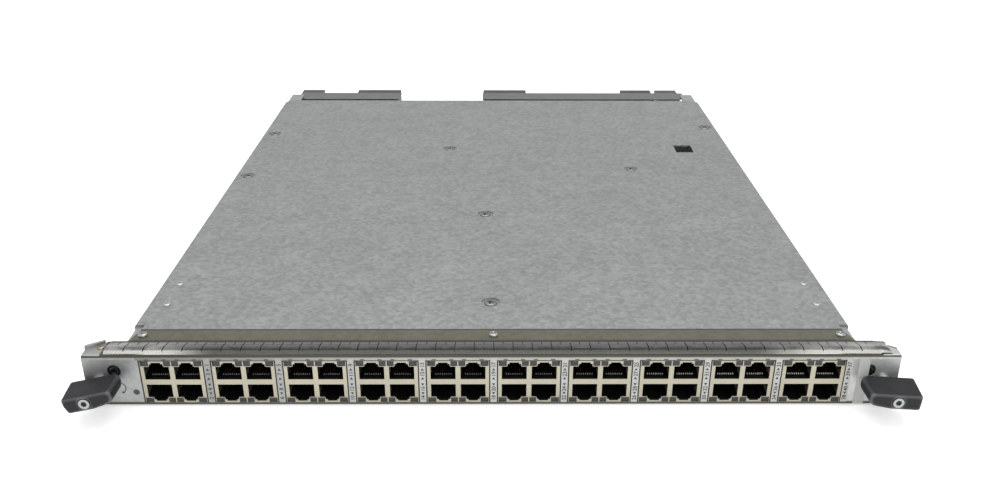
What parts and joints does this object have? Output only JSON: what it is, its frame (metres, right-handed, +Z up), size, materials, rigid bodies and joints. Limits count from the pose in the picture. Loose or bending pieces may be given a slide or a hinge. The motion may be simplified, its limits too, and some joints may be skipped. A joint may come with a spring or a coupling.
{
  "type": "switch line card",
  "caption": "Flat slide-in switch card: a front panel with rows of network sockets and a turning knob at each end, a sheet-metal case behind it and backplane connectors at the rear.",
  "frame": {"origin": "on the underside of the tray, midway across and midway between the faceplate's front and the rear of the backplane connectors", "axes": "+X to the right along the faceplate, +Y from the faceplate to the rear, +Z up through the top cover"},
  "size_m": [0.3928, 0.4792, 0.0294],
  "materials": {
    "faceplate_steel": "satin plated steel",
    "spring_strip": "bright spring strip",
    "rivet_zinc": "olive passivated zinc",
    "can_nickel": "warm satin nickel plate",
    "socket_black": "moulded, dull",
    "contact_gold": "gold flash",
    "light_pipe": "clear moulding over a dark well",
    "tray_galvanised": "galvanised sheet",
    "cover_galvanised": "galvanised sheet, fine spangle",
    "rail_chromate": "yellowish passivated sheet",
    "rail_screw_zinc": "bright zinc",
    "cover_screw_zinc": "zinc",
    "cover_rivet_zinc": "zinc",
    "post_steel": "zinc",
    "board_green": "solder mask",
    "standoff_brass": "turned",
    "board_screw_zinc": "zinc",
    "chip_black": "moulded",
    "sink_aluminium": "extruded",
    "converter_black": "dull",
    "plug_grey": "moulded",
    "guide_metal": "die-cast",
    "ledge_steel": "plated sheet",
    "knob_charcoal": "fine-grained moulding",
    "knob_screw_zinc": "zinc",
    "jackscrew_steel": "turned",
    "bush_steel": "turned",
    "bracket_steel": "plated sheet",
    "screw_black": "black oxide",
    "lamp_lens": "smoked lens"
  },
  "bodies": {
    "card": {"backplane_plug_left": "plug_grey", "backplane_plug_middle": "plug_grey", "backplane_plug_right": "plug_grey", "base_tray": "tray_galvanised", "board_screws": "board_screw_zinc", "board_standoffs": "standoff_brass", "bracket_screws": "screw_black", "cover_rivets": "cover_rivet_zinc", "cover_screws": "cover_screw_zinc", "emi_gasket": "spring_strip", "faceplate": "faceplate_steel", "front_rail": "rail_chromate", "front_rail_screws": "rail_screw_zinc", "gasket_rivets": "rivet_zinc", "guide_socket_left": "guide_metal", "guide_socket_right": "guide_metal", "heat_sink_1": "sink_aluminium", "heat_sink_2": "sink_aluminium", "jack_housing_1": "socket_black", "jack_housing_10": "socket_black", "jack_housing_2": "socket_black", "jack_housing_3": "socket_black", "jack_housing_4": "socket_black", "jack_housing_5": "socket_black", "jack_housing_6": "socket_black", "jack_housing_7": "socket_black", "jack_housing_8": "socket_black", "jack_housing_9": "socket_black", "jack_shield_1": "can_nickel", "jack_shield_10": "can_nickel", "jack_shield_2": "can_nickel", "jack_shield_3": "can_nickel", "jack_shield_4": "can_nickel", "jack_shield_5": "can_nickel", "jack_shield_6": "can_nickel", "jack_shield_7": "can_nickel", "jack_shield_8": "can_nickel", "jack_shield_9": "can_nickel", "left_bracket": "bracket_steel", "left_bush": "bush_steel", "main_board": "board_green", "packet_chip_1": "chip_black", "packet_chip_2": "chip_black", "port_contacts": "contact_gold", "port_light_pipes": "light_pipe", "power_converter": "converter_black", "rear_ledge_left": "ledge_steel", "rear_ledge_right": "ledge_steel", "right_bracket": "bracket_steel", "right_bush": "bush_steel", "status_light": "lamp_lens", "support_posts": "post_steel", "top_cover": "cover_galvanised"},
    "left_jack": {"left_jackscrew": "jackscrew_steel", "left_knob": "knob_charcoal", "left_knob_screw": "knob_screw_zinc"},
    "right_jack": {"right_jackscrew": "jackscrew_steel", "right_knob": "knob_charcoal", "right_knob_screw": "knob_screw_zinc"}
  },
  "joints": [
    {"name": "left_knob_turn", "type": "hinge", "parent": "card", "child": "left_jack", "pos_m": [-0.1833, -0.23, 0.0141], "axis": [0, 1, 0], "continuous": true},
    {"name": "right_knob_turn", "type": "hinge", "parent": "card", "child": "right_jack", "pos_m": [0.1833, -0.23, 0.0141], "axis": [0, 1, 0], "continuous": true}
  ]
}
